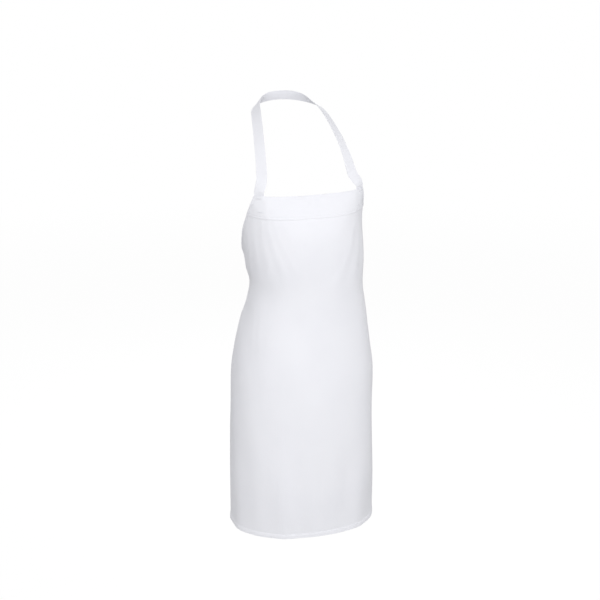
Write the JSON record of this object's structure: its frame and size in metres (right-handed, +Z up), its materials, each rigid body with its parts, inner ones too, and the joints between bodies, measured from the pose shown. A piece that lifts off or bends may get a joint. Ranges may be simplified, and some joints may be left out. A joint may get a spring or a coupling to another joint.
{
  "type": "butcher apron",
  "caption": "White cotton twill bib apron shaped as worn, with a neck strap loop, hemmed edges and waist ties knotted in a bow at the back.",
  "frame": {"origin": "on the wearer's middle plane, level with the crest of the neck loop, where the wearer's neck stands", "axes": "+Z up, the front of the apron faces -Y, the wearer's left is +X"},
  "size_m": [0.366, 0.2392, 1.0653],
  "materials": {
    "panel_twill": "white cotton twill, matt",
    "hem_twill": "white cotton twill, folded and pressed",
    "strap_twill": "white folded twill strap, edge stitched",
    "thread": "white spun sewing thread",
    "label_tape": "plain satin label tape, blank"
  },
  "bodies": {
    "apron": {"body_panel": "panel_twill", "bib_facing": "hem_twill", "armhole_binding_left": "hem_twill", "armhole_binding_right": "hem_twill", "side_hem_left": "hem_twill", "side_hem_right": "hem_twill", "bottom_hem": "hem_twill", "neck_strap_end_left": "strap_twill", "neck_strap_end_right": "strap_twill", "waist_tie_left": "strap_twill", "waist_tie_right": "strap_twill", "bow_knot": "strap_twill", "neck_bartack_left": "thread", "neck_bartack_right": "thread", "waist_bartack_left": "thread", "waist_bartack_right": "thread", "facing_stitching": "thread", "armhole_stitching_left": "thread", "armhole_stitching_right": "thread", "side_stitching_left": "thread", "side_stitching_right": "thread", "bottom_stitching": "thread", "waist_tie_stitching_left": "thread", "waist_tie_stitching_right": "thread", "care_label": "label_tape"},
    "neck_strap": {"neck_strap": "strap_twill", "neck_strap_stitching": "thread"},
    "bow_loop_left": {"bow_loop_left": "strap_twill"},
    "bow_loop_right": {"bow_loop_right": "strap_twill"},
    "tie_tail_left": {"tie_tail_left": "strap_twill"},
    "tie_tail_right": {"tie_tail_right": "strap_twill"}
  },
  "joints": [
    {"name": "neck_strap_lift", "type": "hinge", "parent": "apron", "child": "neck_strap", "pos_m": [0, -0.097, -0.1795], "axis": [1, 0, 0], "range_deg": [0, 150]},
    {"name": "bow_loop_left_swing", "type": "hinge", "parent": "apron", "child": "bow_loop_left", "pos_m": [0.0101, 0.0829, -0.4206], "axis": [1, 0, 0], "range_deg": [0, 75]},
    {"name": "bow_loop_right_swing", "type": "hinge", "parent": "apron", "child": "bow_loop_right", "pos_m": [0.0101, 0.0829, -0.4206], "axis": [1, 0, 0], "range_deg": [0, 75]},
    {"name": "tie_tail_left_swing", "type": "hinge", "parent": "apron", "child": "tie_tail_left", "pos_m": [0.0101, 0.0829, -0.434], "axis": [1, 0, 0], "range_deg": [0, 75]},
    {"name": "tie_tail_right_swing", "type": "hinge", "parent": "apron", "child": "tie_tail_right", "pos_m": [0.0101, 0.0829, -0.434], "axis": [1, 0, 0], "range_deg": [0, 75]}
  ]
}
